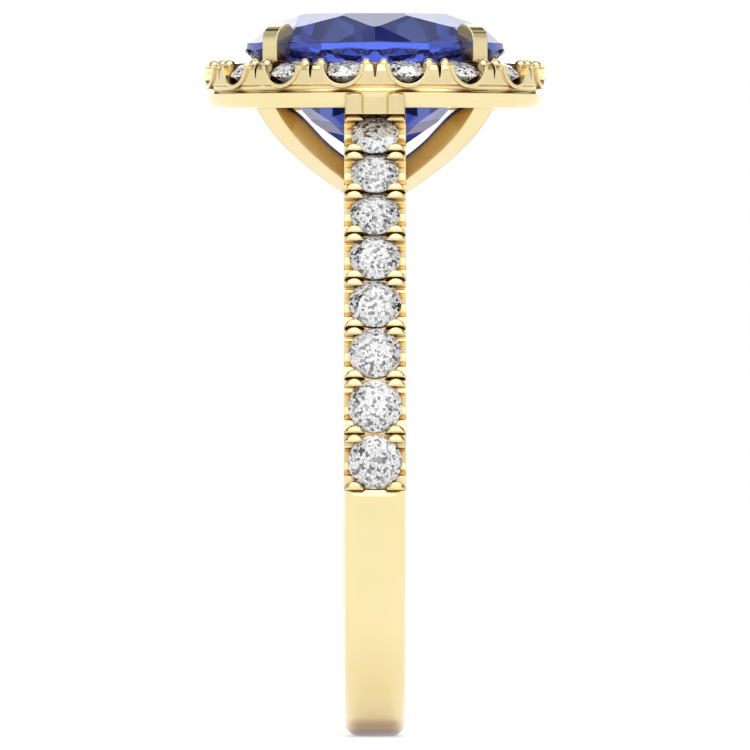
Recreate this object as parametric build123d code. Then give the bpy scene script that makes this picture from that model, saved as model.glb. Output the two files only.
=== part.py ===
from build123d import *
import os
from math import asin, cos, radians, sin

# Halo engagement ring: a plain gold band with pave shoulders, and a head with one large round
# stone in four claws inside a ring of small round stones.
# Origin at the centre of the finger hole. X is the finger's axis, Z runs up through the head.

# ---------------------------------------------------------------- driving dimensions
BORE_R = 8.25              # finger hole, 16.5 mm across
BAND_R = 9.85              # outside of the plain band
BAND_WIDTH = 2.12
BAND_EDGE_R = 0.5          # rounding of the plain band's outer edges
BAND_INNER_EDGE_R = 0.2

PAVE_DEPTH = 0.22          # the set part of the band is this much lower than the plain part
PAVE_END_Z = -1.28         # where the set part ends on each side
PAVE_RAMP = 0.45           # height of the slanted end of the set part
SHOULDER_TILT = 27.7       # lean of the straight shoulders towards the head
SHOULDER_THICK = 1.33
BRIDGE_R = 9.1             # outside of the band under the head

HALO_BOTTOM = 11.83
HALO_GIRDLE = 13.10
HALO_OUTER_R = 5.88
HALO_INNER_R = 4.2
HALO_SEAT_R = 5.08         # radius of the circle through the halo stones' centres
HALO_COUNT = 16
HALO_STONE_D = 1.54
HALO_LEAN = 13             # degrees that the halo stones face outwards
HALO_GROOVE_Z = 12.47      # middle of the groove around the halo's wall, under the cups
HALO_GROOVE_DEPTH = 0.15
CUP_R = 0.64               # inside of the round cup lip in front of each halo stone
CUP_LIP = 0.13

CENTER_D = 9.0
CENTER_GIRDLE_TOP = 14.10
CENTER_GIRDLE_BOTTOM = 13.92
CENTER_TABLE_Z = 15.12
CENTER_TABLE_R = 2.62

CLAW_AZIMUTHS = (45, 135, 225, 315)
ARM_WIDTH = 0.9
ARM_BEVEL = 0.2            # on the arms' inner edges
NECK_WIDTH = 0.4
CLAW_WIDTH = 0.68
CLAW_INNER_R = 4.6
CLAW_OUTER_R = 5.14
CLAW_TIP_R = 4.33
CLAW_TIP_Z = 14.72

SEAT_GAP = 0.008           # play between a stone and the metal around it
PRONG_R = 0.2              # round prongs of the halo
PRONG_SINK = 0.5
TAB_WIDTH = 0.64           # wide prongs of the shoulders, across the band
TAB_LENGTH = 0.28          # along the shoulder
TAB_X = 0.71
TAB_STEP = 0.155           # from the cut between two stones
TAB_HEIGHT = 0.27
TAB_CHAMFER = 0.07
SAW_CUT = (0.9, 0.04, 0.5) # straight cut between two tabs: across, along and into the band

# Heights of the cuts between the shoulder stones, from the lowest to the one under the halo.
PAVE_CUTS_Z = (-1.31, 0.64, 2.55, 4.31, 5.99, 7.53, 8.99, 10.35, 11.66)
PAVE_STONE_D = (1.84, 1.83, 1.79, 1.80, 1.74, 1.70, 1.65, 1.62)
# How much further than the shoulder itself each stone leans towards the head.
PAVE_STONE_LEAN = (0, 0, 0, 1.5, 5, 8, 10.5, 12)

tilt = radians(SHOULDER_TILT)
pave_r = BAND_R - PAVE_DEPTH


# ---------------------------------------------------------------- stones
def largest(shape):
    """The main solid of a shape, without the crumbs that a cut can leave."""
    return max(shape.solids(), key=lambda solid: solid.volume)


def cut_facets(stone, slope, azimuths, radius, height, side):
    """Cuts a row of facets. Each passes through (radius, height) and slopes away by slope
    degrees, upwards with side 1 (the crown) and downwards with side -1 (the pavilion)."""
    for azimuth in azimuths:
        out = Vector(cos(radians(azimuth)), sin(radians(azimuth)), 0)
        normal = out * sin(radians(slope)) + Vector(0, 0, side * cos(radians(slope)))
        place = out * radius + Vector(0, 0, height)
        stone = split(stone, Plane(origin=place, z_dir=normal), keep=Keep.BOTTOM)
    return stone


def round_azimuths(count, start=0.0):
    return [start + 360 / count * i for i in range(count)]


def girdle_pairs():
    """Sixteen azimuths in pairs, one on each side of eight main facets."""
    return [45 * i + step for i in range(8) for step in (-11.25, 11.25)]


def brilliant(diameter):
    """A round brilliant with 57 facets. Its girdle is centred on Z 0, its table faces +Z."""
    radius = diameter / 2
    girdle = 0.03 * diameter
    crown = 0.15 * diameter
    table_r = 0.285 * diameter
    stone = Cylinder(radius, 2 * diameter)
    top = girdle / 2
    stone = cut_facets(stone, 34, round_azimuths(8), radius, top, 1)
    stone = cut_facets(stone, 39.5, girdle_pairs(), radius, top, 1)
    star_mid = table_r * cos(radians(22.5))
    stone = cut_facets(stone, 22, round_azimuths(8, 22.5), star_mid, top + crown, 1)
    stone = split(stone, Plane(origin=(0, 0, top + crown)), keep=Keep.BOTTOM)
    stone = cut_facets(stone, 40.8, round_azimuths(8), radius, -top, -1)
    return cut_facets(stone, 42.3, girdle_pairs(), radius, -top, -1)


def center_stone():
    """The large round stone: a brilliant crown and a full pavilion in three rows of facets."""
    radius = CENTER_D / 2
    stone = Pos(0, 0, 12.5) * Cylinder(radius, 9)
    top = CENTER_GIRDLE_TOP
    stone = cut_facets(stone, 30, round_azimuths(8, 22.5), radius, top, 1)
    stone = cut_facets(stone, 35.5, [a + 22.5 for a in girdle_pairs()], radius, top, 1)
    star_mid = CENTER_TABLE_R * cos(radians(22.5))
    stone = cut_facets(stone, 19, round_azimuths(8), star_mid, CENTER_TABLE_Z, 1)
    stone = split(stone, Plane(origin=(0, 0, CENTER_TABLE_Z)), keep=Keep.BOTTOM)
    low = CENTER_GIRDLE_BOTTOM
    stone = cut_facets(stone, 55, round_azimuths(16, 11.25), radius, low, -1)
    stone = cut_facets(stone, 46.3, round_azimuths(16), 4.19, low - 0.405, -1)
    return cut_facets(stone, 36.7, round_azimuths(8, 22.5), 2.56, low - 2.11, -1)


unit_stone = largest(brilliant(1.0))


def small_stone(diameter, gap=0.0):
    return scale(unit_stone, by=diameter + 2 * gap)


def seat_cutter(diameter):
    """The room that a small stone and the setter's bur need: the stone itself with a little
    play, and a straight well above its girdle."""
    well = Pos(0, 0, 0.5) * Cylinder(diameter / 2 + SEAT_GAP, 1.0)
    pit = Pos(0, 0, -0.25 * diameter) * Cylinder(0.22 * diameter, 0.5 * diameter)
    return small_stone(diameter, SEAT_GAP) + well + pit


def prong(place, radius, height, dome):
    """A prong at a place: a round post from PRONG_SINK below the girdle, with a domed top."""
    post = Pos(0, 0, (height - PRONG_SINK) / 2) * Cylinder(radius, height + PRONG_SINK)
    cap_r = (radius * radius + dome * dome) / (2 * dome)
    cap = Pos(0, 0, height + dome - cap_r) * Sphere(cap_r)
    cap &= Pos(0, 0, height + dome / 2) * Cylinder(radius, dome)
    return place * (post + cap)


def tab(place):
    """A wide prong at a place: a scale whose round edge is towards the head, with a sloped rim."""
    base = Line((-TAB_WIDTH / 2, -TAB_LENGTH / 2), (TAB_WIDTH / 2, -TAB_LENGTH / 2))
    round_edge = ThreePointArc(base @ 1, (0, TAB_LENGTH / 2), base @ 0)
    block = extrude(make_face([base, round_edge]), TAB_HEIGHT + PRONG_SINK)
    block = chamfer(block.faces().sort_by(Axis.Z)[-1].edges(), TAB_CHAMFER)
    return place * Pos(0, 0, -PRONG_SINK) * block


# ---------------------------------------------------------------- the shoulders' line
def line_y(z, depth=0.0):
    """Distance from the ring's axis plane of the shoulder's straight side at height z."""
    return (BAND_R - depth - z * sin(tilt)) / cos(tilt)


def along_at(z):
    """Length along the outline, from Z 0 up, of the point at height z."""
    if z < BAND_R * sin(tilt):
        return BAND_R * asin(z / BAND_R)
    return BAND_R * tilt + (z - BAND_R * sin(tilt)) / cos(tilt)


def outline_place(along, lean=0.0):
    """A place on the outline, on the -Y side: its Z points out of the metal, its X is the
    ring's X and its Y runs up the shoulder."""
    angle = min(along / BAND_R, tilt)
    past = along - angle * BAND_R
    y = BAND_R * cos(angle) - past * sin(angle)
    z = BAND_R * sin(angle) + past * cos(angle)
    face = angle + radians(lean)
    return Location(Plane(origin=(0, -y, z), x_dir=(1, 0, 0), z_dir=(0, -cos(face), sin(face))))


cuts = [along_at(z) for z in PAVE_CUTS_Z]
stone_places = []
for number, diameter in enumerate(PAVE_STONE_D):
    middle = (cuts[number] + cuts[number + 1]) / 2
    sink = PAVE_DEPTH - 0.04
    stone_places.append(outline_place(middle, PAVE_STONE_LEAN[number]) * Pos(0, 0, -sink))


# ---------------------------------------------------------------- the shank
def shoulder_profile():
    """Side outline of the upper part of the shank: ring, bridge and two straight shoulders."""
    foot = (pave_r * cos(tilt), pave_r * sin(tilt))
    back_r = pave_r - SHOULDER_THICK
    back_foot = (back_r * cos(tilt), back_r * sin(tilt))
    top = HALO_BOTTOM
    outer_top = (line_y(top, PAVE_DEPTH), top)
    inner_top = (line_y(top, BAND_R - back_r), top)
    shape = Circle(pave_r)
    for side in (1, -1):
        corners = [foot, outer_top, inner_top, back_foot]
        shape += make_face(Polyline(*[(side * y, z) for y, z in corners], close=True))
    valley = [back_foot, inner_top, (0, top + 1), (-inner_top[0], top), (-back_foot[0], back_foot[1])]
    shape -= make_face(Polyline(*valley, close=True)) - Circle(BRIDGE_R)
    return shape - Circle(BORE_R)


def plain_ring():
    """The whole band with its rounded outer edges."""
    half = BAND_WIDTH / 2
    thick = BAND_R - BORE_R
    section = Pos(0, BORE_R + thick / 2) * Rectangle(BAND_WIDTH, thick)
    outer = [v for v in section.vertices() if v.Y > BORE_R + half / 2]
    section = fillet(outer, BAND_EDGE_R)
    inner = [v for v in section.vertices() if v.Y < BORE_R + 0.01]
    section = fillet(inner, BAND_INNER_EDGE_R)
    return revolve(section, axis=Axis.X)


def pave_zone():
    """Everything above the slanted ends of the set part."""
    low = PAVE_END_Z - 3 * PAVE_RAMP
    far = pave_r + 3 * PAVE_DEPTH
    corners = [(far, low), (pave_r, PAVE_END_Z), (-pave_r, PAVE_END_Z), (-far, low), (-14, 14), (14, 14)]
    return extrude(Plane.YZ * make_face(Polyline(*corners, close=True)), 5, both=True)


def shank():
    upper = extrude(Plane.YZ * shoulder_profile(), BAND_WIDTH / 2, both=True)
    upper = split(upper, Plane(origin=(0, 0, PAVE_END_Z)), keep=Keep.TOP)
    body = plain_ring() - pave_zone() + upper
    tools = []
    posts = []
    for number, place in enumerate(stone_places):
        diameter = PAVE_STONE_D[number]
        tools.append(place * seat_cutter(diameter))
        scallop = Rot(0, 90, 0) * Cylinder(0.27 * diameter, 2 * BAND_WIDTH)
        tools.append(place * Pos(0, 0, 0.05) * scallop)
    saw_cuts = []
    for number, cut in enumerate(cuts):
        place = outline_place(cut) * Pos(0, 0, -PAVE_DEPTH)
        steps = [TAB_STEP] * (number < len(PAVE_STONE_D)) + [-TAB_STEP] * (number > 0)
        for side in (1, -1):
            posts += [tab(place * Pos(side * TAB_X, step, 0)) for step in steps]
            saw_cuts.append(place * Pos(side * 0.8, 0, 0.1) * Box(*SAW_CUT))
    mirror_plane = Plane.XZ
    tools += [mirror(tool, about=mirror_plane) for tool in tools]
    posts += [mirror(post, about=mirror_plane) for post in posts]
    saw_cuts += [mirror(saw_cut, about=mirror_plane) for saw_cut in saw_cuts]
    body = body - tools + posts - saw_cuts
    stones = [place * small_stone(d, SEAT_GAP) for place, d in zip(stone_places, PAVE_STONE_D)]
    stones += [mirror(stone, about=mirror_plane) for stone in stones]
    return largest(body - stones)


# ---------------------------------------------------------------- the head
pitch = 360 / HALO_COUNT
stone_azimuths = round_azimuths(HALO_COUNT, pitch / 2)


def turned(azimuth):
    return Rot(0, 0, azimuth)


def halo_profile():
    """Section of the halo's ring: X is the radius."""
    low, wall, top = HALO_BOTTOM, HALO_OUTER_R, HALO_GIRDLE + 0.28
    groove_low, groove_top = HALO_GROOVE_Z - 0.13, HALO_GROOVE_Z + 0.16
    upper_wall = wall - 0.05
    bottom = Line((HALO_INNER_R + 0.2, low), (wall - 0.38, low))
    round_low = ThreePointArc((wall - 0.38, low), (wall - 0.2, low + 0.1), (wall - 0.08, low + 0.37))
    side = Line((wall - 0.08, low + 0.37), (wall, groove_low))
    groove_middle = (wall - HALO_GROOVE_DEPTH, HALO_GROOVE_Z)
    groove = ThreePointArc((wall, groove_low), groove_middle, (upper_wall, groove_top))
    side_top = Line((upper_wall, groove_top), (upper_wall, HALO_GIRDLE))
    bend = (wall - 0.12, HALO_GIRDLE + 0.18)
    round_top = ThreePointArc((upper_wall, HALO_GIRDLE), bend, (wall - 0.27, top))
    inside = Polyline((wall - 0.27, top), (HALO_INNER_R, top), (HALO_INNER_R, low + 0.2),
                      (HALO_INNER_R + 0.2, low))
    return make_face([bottom, round_low, side, groove, side_top, round_top, inside])


def lug(side):
    """The block on the halo's wall that stands on the end of a shoulder, with its two posts."""
    top = HALO_BOTTOM + 0.46
    low = HALO_BOTTOM - 0.23
    block = Pos(0, side * 5.36, (top + low) / 2) * Box(2.04, 0.88, top - low)
    for x in (-0.69, 0.69):
        block += Pos(x, side * 5.68, (top + low) / 2) * Cylinder(0.32, top - low)
    return block


def halo_seats():
    """The places of the halo stones. Each stone faces up and a little outwards."""
    middle = Pos(HALO_SEAT_R, 0, HALO_GIRDLE) * Rot(0, HALO_LEAN, 0)
    return [turned(azimuth) * middle for azimuth in stone_azimuths]


def cup_lips():
    """The half-round lips that stand out of the halo's wall around the stones."""
    lip = Rot(0, 90, 0) * (Cylinder(CUP_R + CUP_LIP, 0.8) - Cylinder(CUP_R - 0.1, 0.8))
    lip = Pos(HALO_OUTER_R - 0.3, 0, HALO_GIRDLE + 0.18) * lip
    band = Cylinder(HALO_OUTER_R + 0.03, 1.2) - Cylinder(HALO_OUTER_R - 0.3, 1.2)
    lip &= Pos(0, 0, HALO_GIRDLE - 0.4) * band
    return [turned(azimuth) * lip for azimuth in stone_azimuths]


def halo_frame(wires):
    ring = revolve(Plane.XZ * halo_profile(), axis=Axis.Z)
    ring += [lug(1), lug(-1)] + cup_lips()
    tools = []
    posts = []
    stones = []
    gap_plane = HALO_SEAT_R * cos(radians(pitch / 2))
    cup = Pos(HALO_SEAT_R + 0.1, 0, HALO_GIRDLE + 0.18) * Rot(0, 90, 0) * Cylinder(CUP_R, 2.6)
    for azimuth, seat in zip(stone_azimuths, halo_seats()):
        tools += [seat * seat_cutter(HALO_STONE_D), turned(azimuth) * cup]
        stones.append(seat * small_stone(HALO_STONE_D, SEAT_GAP))
    for number in range(HALO_COUNT):
        gap = turned(pitch * number) * Pos(0, 0, HALO_GIRDLE)
        wedge = Polyline((-0.13, 0.6), (-0.02, -0.24), (0.02, -0.24), (0.13, 0.6), close=True)
        tools.append(gap * Pos(5.25, 0, 0) * extrude(Plane.YZ * make_face(wedge), 0.8))
        for across in (-1, 1):
            outer = gap * Pos(gap_plane + 0.58, across * 0.3, 0)
            posts.append(prong(outer, PRONG_R, 0.27, 0.15))
            if pitch * number not in CLAW_AZIMUTHS:
                inner = gap * Pos(gap_plane - 0.43, across * 0.22, 0)
                posts.append(prong(inner, PRONG_R, 0.18, 0.15))
    return largest(ring - tools + posts - stones - wires)


def claw_wire(azimuth, shank_solid, stone):
    """One claw: an arm that curves up from the band under the halo, a narrow neck through the
    halo and a claw that bends over the edge of the large stone."""
    under = HALO_BOTTOM
    outer = Spline((0, 8.5), (1.05, 8.93), (2.86, 9.86), (4.04, 10.61), (4.98, 11.45), (5.3, under))
    inner = Spline((4.26, under), (3.44, 11.31), (2.82, 10.83), (1.98, 10.32), (0, 9.42))
    arm = make_face([outer, Line((5.3, under), (4.26, under)), inner, Line((0, 9.42), (0, 8.5))])
    wire = extrude(Plane.XZ * arm, ARM_WIDTH / 2, both=True)
    long_edges = wire.edges().filter_by(lambda edge: 4.5 < edge.length < 5.5)
    wire = chamfer([edge for edge in long_edges if abs((edge @ 0.5).Y) > 0.1], ARM_BEVEL)
    foot = HALO_GIRDLE + 0.33
    neck_height = foot - under
    neck_middle = (CLAW_INNER_R + CLAW_OUTER_R) / 2
    wire += Pos(neck_middle, 0, under + neck_height / 2) * Box(0.52, NECK_WIDTH, neck_height + 0.1)
    back = Polyline((CLAW_TIP_R, 14.45), (CLAW_TIP_R, 14.0), (CLAW_INNER_R - 0.1, 13.7),
                    (CLAW_INNER_R, foot), (CLAW_OUTER_R, foot), (CLAW_OUTER_R, 14.15))
    bend = ThreePointArc((CLAW_OUTER_R, 14.15), (CLAW_OUTER_R - 0.13, 14.52), (4.7, CLAW_TIP_Z))
    tip = ThreePointArc((4.7, CLAW_TIP_Z), (4.46, CLAW_TIP_Z - 0.04), (CLAW_TIP_R, 14.45))
    claw = extrude(Plane.XZ * make_face([back, bend, tip]), CLAW_WIDTH / 2, both=True)
    wire += claw
    wire &= turned(-45) * Pos(5, 5, 12) * Box(10, 10, 10)
    wire = turned(azimuth) * wire
    return largest(wire - shank_solid - stone)


def write(shape, node):
    export_step(shape, "parts/" + node + ".step")


os.makedirs("parts", exist_ok=True)
large = center_stone()
write(large, "center_stone")
shank_solid = shank()
play_stone = Pos(0, 0, CENTER_GIRDLE_TOP) * scale(Pos(0, 0, -CENTER_GIRDLE_TOP) * large, by=1.003)
wires = [claw_wire(azimuth, shank_solid, play_stone) for azimuth in CLAW_AZIMUTHS]
frame = halo_frame(wires)
shank_solid = largest(shank_solid - [lug(1), lug(-1)])
write(shank_solid, "shank")
write(frame, "halo_frame")
for number, wire in enumerate(wires, 1):
    write(wire, "claw_wire_%d" % number)
for number, seat in enumerate(halo_seats(), 1):
    write(seat * small_stone(HALO_STONE_D), "halo_stone_%02d" % number)
for number, place in enumerate(stone_places):
    stone = place * small_stone(PAVE_STONE_D[number])
    write(stone, "shoulder_stone_front_%d" % (number + 1))
    write(mirror(stone, about=Plane.XZ), "shoulder_stone_back_%d" % (number + 1))
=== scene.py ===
"""The look of the halo engagement ring: polished yellow gold, diamonds and a tanzanite, in a
pale studio. The shapes are the CAD model's own. Lengths are in metres."""

import bpy
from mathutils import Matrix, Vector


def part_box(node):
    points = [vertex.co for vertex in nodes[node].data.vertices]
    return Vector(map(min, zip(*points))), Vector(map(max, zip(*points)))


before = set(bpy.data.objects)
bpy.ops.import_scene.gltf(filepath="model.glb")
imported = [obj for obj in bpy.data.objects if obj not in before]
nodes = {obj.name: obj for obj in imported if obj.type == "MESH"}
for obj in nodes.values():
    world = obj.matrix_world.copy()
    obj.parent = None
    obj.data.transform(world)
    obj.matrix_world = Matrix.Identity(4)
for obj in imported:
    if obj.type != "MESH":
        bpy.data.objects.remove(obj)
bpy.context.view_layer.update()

MM = 0.001
WHITE = (1.0, 1.0, 1.0, 1.0)

# Each pair whose name ends in CLOUDS is a noise's scale, per metre, and its detail.

# Gold: base colour of its paler and deeper patches, and the colours of painted shade and painted
# reflection where metal is shut in by other metal.
GOLD_CLOUDS = (260.0, 3.0)
GOLD_PATCHES = [(0.35, (0.82, 0.69, 0.375)), (0.65, (0.845, 0.715, 0.405))]
# Painted shade and painted reflection of gold in gold, near other metal:
GOLD_PAINTED_INNER_SHADE = (0.50, 0.29, 0.10, 1.0)
GOLD_PAINTED_CREVICE_SHADE = (0.20, 0.11, 0.035, 1.0)
CREVICE_SHADE_REACH = 0.35 * MM
BAND_INNER_SHADE_REACH = 0.8 * MM
HEAD_INNER_SHADE_REACH = 3.0 * MM
INNER_SHADE_OPENNESS = (0.25, 0.8)     # full painted shade and reflection at the first, none at the second
CREVICE_SHADE_OPENNESS = (0.2, 0.72)
OPENNESS_SAMPLES = 8

# Gold's polish: cloudy roughness, marks that run across the band, and softened edges.
SMEAR_CLOUDS = (700.0, 4.0)
SMEAR_RANGE = (0.3, 0.7)        # the part of the noise that is stretched over the roughness
GOLD_ROUGHNESS = (0.09, 0.16)
POLISH_MARK_SCALE = (300.0, 9000.0, 9000.0)
POLISH_MARK_CLOUDS = (1.0, 2.0)
POLISH_MARK_STRENGTH = 0.03
POLISH_MARK_DEPTH = 0.01 * MM
EDGE_ROUNDING = 0.06 * MM
EDGE_SAMPLES = 6

# Diamonds: painted reflections as small cells of tone: their shares and brightness, and the
# borders' brightness.
DIAMOND_TONES = [(0.0, 0.03), (0.13, 0.30), (0.27, 0.78), (0.45, 1.0)]
DIAMOND_CELLS = 10000.0         # cells per metre
DIAMOND_BORDER = 0.4
BORDER_RANGE = (0.02, 0.1)      # distance from a cell's edge, as a share of the cell
DIAMOND_IOR = 2.417
SHOULDER_CLEARNESS = 0.32
HALO_CLEARNESS = 0.12

# Tanzanite: from blue to violet-blue.
TANZANITE_CLOUDS = (260.0, 2.0)
TANZANITE_PATCHES = [(0.35, (0.030, 0.095, 0.46)), (0.65, (0.075, 0.090, 0.52))]
TANZANITE_CLEARNESS = 0.85
TANZANITE_IOR = 1.69
TANZANITE_GLINT = (0.5, 0.62, 1.0, 1.0)

# Floor: a disc with this many sides.
FLOOR_SIDES = 96
FLOOR_RADIUS = 0.6
FLOOR_CLOUDS = (12.0, 2.0)
FLOOR_PATCHES = [(0.3, 0.62), (0.7, 0.64)]
FLOOR_ROUGHNESS = 0.9
FLOOR_SHEEN = 0.1
FLOOR_GLOW = 0.5

# Room: its walls' brightness, and the ceiling's panels and where they start and are full.
ROOM_BRIGHTNESS = 0.96
CEILING_CLOUDS = (2.6, 1.0)
CEILING_PANELS = [(0.41, 0.05), (0.48, 0.58), (1.0, 0.72)]
CEILING_HEIGHTS = (0.1, 0.4)

# Lamps: strength, apparent size and tilt from straight overhead.
LAMPS = {"front_light": (2.0, 1.5, (0.7, 0.1, 0)),
         "back_light": (1.1, 1.0, (-1.2, 0, 0))}

# Camera: level with the middle of the ring and square to the band's edge.
CAMERA_DISTANCE = 0.75
FRAME_WIDTH = 25.95 * MM
FRAME_MIDDLE_Z = 2.64 * MM
SENSOR_WIDTH = 36               # millimetres, as Blender counts them
NEAREST, FARTHEST = 0.05, 10
QUARTER_TURN = 1.5707963


def grey_stops(stops):
    """A ramp's stops as greys, from their places and brightnesses."""
    return [(place, (value, value, value)) for place, value in stops]


# ---------------------------------------------------------------- node helpers
class Tree:
    """A short way to add nodes to a material or the world and link them."""

    def __init__(self, owner):
        owner.use_nodes = True
        self.tree = owner.node_tree
        self.tree.nodes.clear()

    def add(self, kind, links=None, **settings):
        node = self.tree.nodes.new(kind)
        for name, value in settings.items():
            setattr(node, name, value)
        for socket, source in (links or {}).items():
            self.set(node, socket, source)
        return node

    def set(self, node, socket, source):
        if isinstance(source, bpy.types.NodeSocket):
            self.tree.links.new(source, node.inputs[socket])
        else:
            node.inputs[socket].default_value = source

    def place(self):
        return self.add("ShaderNodeTexCoord").outputs["Object"]

    def noise(self, vector, scale, detail):
        links = {"Vector": vector, "Scale": scale, "Detail": detail}
        return self.add("ShaderNodeTexNoise", links).outputs["Fac"]

    def ramp(self, factor, stops, interpolation="LINEAR"):
        node = self.add("ShaderNodeValToRGB", {"Fac": factor})
        ramp = node.color_ramp
        ramp.interpolation = interpolation
        while len(ramp.elements) < len(stops):
            ramp.elements.new(1.0)
        for element, (place, colour) in zip(ramp.elements, stops):
            element.position = place
            element.color = (*colour, 1.0)
        return node.outputs["Color"]

    def smooth(self, value, low, high, to_low=0.0, to_high=1.0):
        """The value's share of the way from low to high, eased, as to_low to to_high."""
        links = {"Value": value, "From Min": low, "From Max": high,
                 "To Min": to_low, "To Max": to_high}
        node = self.add("ShaderNodeMapRange", links, interpolation_type="SMOOTHSTEP")
        return node.outputs["Result"]

    def mix(self, factor, a, b):
        """Colour a where factor is 0 and b where it is 1."""
        node = self.add("ShaderNodeMix", data_type="RGBA")
        for socket, source in ((0, factor), (6, a), (7, b)):
            self.set(node, socket, source)
        return node.outputs[2]

    def openness(self, reach):
        """How much of the view from a point is free of surfaces within reach."""
        node = self.add("ShaderNodeAmbientOcclusion", {"Distance": reach},
                        samples=OPENNESS_SAMPLES)
        return node.outputs["AO"]

    def surface(self, links):
        shader = self.add("ShaderNodeBsdfPrincipled", links)
        self.add("ShaderNodeOutputMaterial", {"Surface": shader.outputs["BSDF"]})


def new_material(name):
    material = bpy.data.materials.new(name)
    return material, Tree(material)


# ---------------------------------------------------------------- materials
def polished_gold(name, inner_shade_reach):
    """Yellow gold from the polishing wheel: faint cloudiness, hair-fine marks, soft edges, and
    painted shade: darker, browner gold in the crevices between prongs and stones. Near other
    metal, within the given reach, it also gets painted shade and a painted reflection of gold in
    gold: a warmer, darker tone."""
    material, t = new_material(name)
    place = t.place()
    bright = t.ramp(t.noise(place, *GOLD_CLOUDS), GOLD_PATCHES)
    # Painted shade and painted reflection: darker, warmer gold where other metal is within reach.
    inner_shaded = t.mix(t.smooth(t.openness(inner_shade_reach), *INNER_SHADE_OPENNESS), GOLD_PAINTED_INNER_SHADE, bright)
    # Painted shade: the gold turns darker and browner in crevices, where other surfaces are
    # close.
    colour = t.mix(t.smooth(t.openness(CREVICE_SHADE_REACH), *CREVICE_SHADE_OPENNESS), GOLD_PAINTED_CREVICE_SHADE, inner_shaded)
    roughness = t.smooth(t.noise(place, *SMEAR_CLOUDS), *SMEAR_RANGE, *GOLD_ROUGHNESS)
    stretch = t.add("ShaderNodeMapping", {"Vector": place, "Scale": POLISH_MARK_SCALE})
    marks = t.noise(stretch.outputs["Vector"], *POLISH_MARK_CLOUDS)
    soft_edge = t.add("ShaderNodeBevel", {"Radius": EDGE_ROUNDING}, samples=EDGE_SAMPLES)
    links = {"Strength": POLISH_MARK_STRENGTH, "Distance": POLISH_MARK_DEPTH, "Height": marks,
             "Normal": soft_edge.outputs["Normal"]}
    bump = t.add("ShaderNodeBump", links)
    t.surface({"Base Color": colour, "Metallic": 1.0, "Roughness": roughness,
               "Normal": bump.outputs["Normal"]})
    return material


def sparkle(t, place):
    """Painted reflections: small cells of different tones with thin dark borders, like the play
    of light inside a cut stone."""
    links = {"Vector": place, "Scale": DIAMOND_CELLS, "Randomness": 1.0}
    cells = t.add("ShaderNodeTexVoronoi", links)
    pick = t.add("ShaderNodeSeparateColor", {"Color": cells.outputs["Color"]}).outputs["Red"]
    tone = t.ramp(pick, grey_stops(DIAMOND_TONES), "CONSTANT")
    border = t.add("ShaderNodeTexVoronoi", links, feature="DISTANCE_TO_EDGE").outputs["Distance"]
    inside = t.smooth(border, *BORDER_RANGE, DIAMOND_BORDER, 1.0)
    product = t.add("ShaderNodeVectorMath", {0: tone, 1: inside}, operation="MULTIPLY")
    return product.outputs["Vector"]


def diamond(name, clearness):
    """Colourless diamond, with the grey and white play of its inner reflections painted into its
    colour.
    """
    material, t = new_material(name)
    t.surface({"Base Color": sparkle(t, t.place()), "Transmission Weight": clearness,
               "IOR": DIAMOND_IOR, "Roughness": 0.0})
    return material


def tanzanite():
    """Violet-blue stone: its colour shifts between blue and violet across the crystal."""
    material, t = new_material("tanzanite")
    colour = t.ramp(t.noise(t.place(), *TANZANITE_CLOUDS), TANZANITE_PATCHES)
    t.surface({"Base Color": colour, "Transmission Weight": TANZANITE_CLEARNESS,
               "IOR": TANZANITE_IOR, "Roughness": 0.0, "Specular Tint": TANZANITE_GLINT})
    return material


def assign(material, names):
    for name in names:
        for slot in nodes[name].material_slots:
            slot.material = material


def finish_nodes():
    stones = [name for name in nodes if "stone" in name]
    head = [name for name in nodes if name not in stones and name != "shank"]
    assign(polished_gold("band_gold", BAND_INNER_SHADE_REACH), ["shank"])
    assign(polished_gold("head_gold", HEAD_INNER_SHADE_REACH), head)
    for place, clearness in (("shoulder", SHOULDER_CLEARNESS), ("halo", HALO_CLEARNESS)):
        material = diamond(place + "_diamond", clearness)
        assign(material, [name for name in stones if name.startswith(place)])
    assign(tanzanite(), ["center_stone"])


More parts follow.
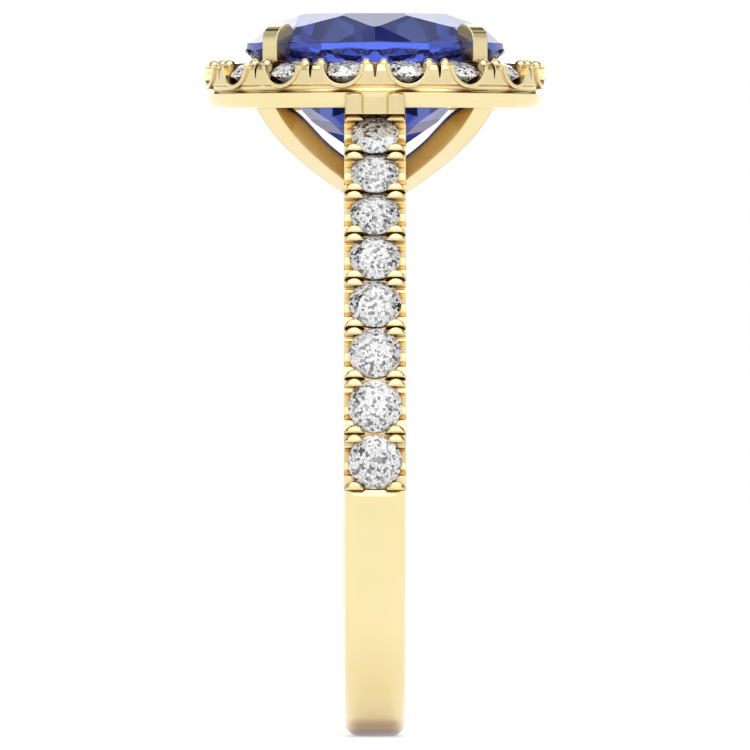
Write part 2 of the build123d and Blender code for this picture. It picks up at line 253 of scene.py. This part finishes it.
# ---------------------------------------------------------------- the studio
def floor():
    """A pale disc that glows a little, like a light table, under the band."""
    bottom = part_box("shank")[0].z
    bpy.ops.mesh.primitive_circle_add(vertices=FLOOR_SIDES, radius=FLOOR_RADIUS, fill_type="NGON",
                                      location=(0, 0, bottom))
    disc = bpy.context.object
    disc.name = "studio_floor"
    material, t = new_material("studio_floor")
    tone = t.ramp(t.noise(t.place(), *FLOOR_CLOUDS), grey_stops(FLOOR_PATCHES))
    t.surface({"Base Color": tone, "Roughness": FLOOR_ROUGHNESS,
               "Specular IOR Level": FLOOR_SHEEN,
               "Emission Color": WHITE, "Emission Strength": FLOOR_GLOW})
    disc.data.materials.append(material)


def room():
    """A pale room with a darker, patchy ceiling, which the metal and the stones reflect. The
    camera itself sees plain white."""
    world = bpy.data.worlds.new("studio")
    bpy.context.scene.world = world
    t = Tree(world)
    way = t.add("ShaderNodeTexCoord").outputs["Generated"]
    ceiling = t.ramp(t.noise(way, *CEILING_CLOUDS), grey_stops(CEILING_PANELS), "EASE")
    height = t.add("ShaderNodeSeparateXYZ", {"Vector": way}).outputs["Z"]
    walls = (ROOM_BRIGHTNESS, ROOM_BRIGHTNESS, ROOM_BRIGHTNESS, 1.0)
    colour = t.mix(t.smooth(height, *CEILING_HEIGHTS), walls, ceiling)
    lit = t.add("ShaderNodeBackground", {"Color": colour, "Strength": 1.0})
    plain = t.add("ShaderNodeBackground", {"Color": WHITE, "Strength": 1.0})
    seen = t.add("ShaderNodeLightPath").outputs["Is Camera Ray"]
    both = t.add("ShaderNodeMixShader", {0: seen, 1: lit.outputs[0], 2: plain.outputs[0]})
    t.add("ShaderNodeOutputWorld", {"Surface": both.outputs[0]})


def lamps():
    """Large soft lamps: the main one above and in front of the ring, and a low one behind."""
    for name, (strength, size, tilt) in LAMPS.items():
        data = bpy.data.lights.new(name, "SUN")
        data.energy = strength
        data.angle = size
        light = bpy.data.objects.new(name, data)
        light.rotation_euler = tilt
        bpy.context.scene.collection.objects.link(light)


def camera():
    data = bpy.data.cameras.new("camera")
    data.sensor_width = SENSOR_WIDTH
    data.lens = SENSOR_WIDTH * CAMERA_DISTANCE / FRAME_WIDTH
    data.clip_start = NEAREST
    data.clip_end = FARTHEST
    view = bpy.data.objects.new("camera", data)
    view.location = (0, -CAMERA_DISTANCE, FRAME_MIDDLE_Z)
    view.rotation_euler = (QUARTER_TURN, 0, 0)
    bpy.context.scene.collection.objects.link(view)
    bpy.context.scene.camera = view


finish_nodes()
floor()
room()
lamps()
camera()
bpy.context.scene.view_settings.view_transform = "Standard"
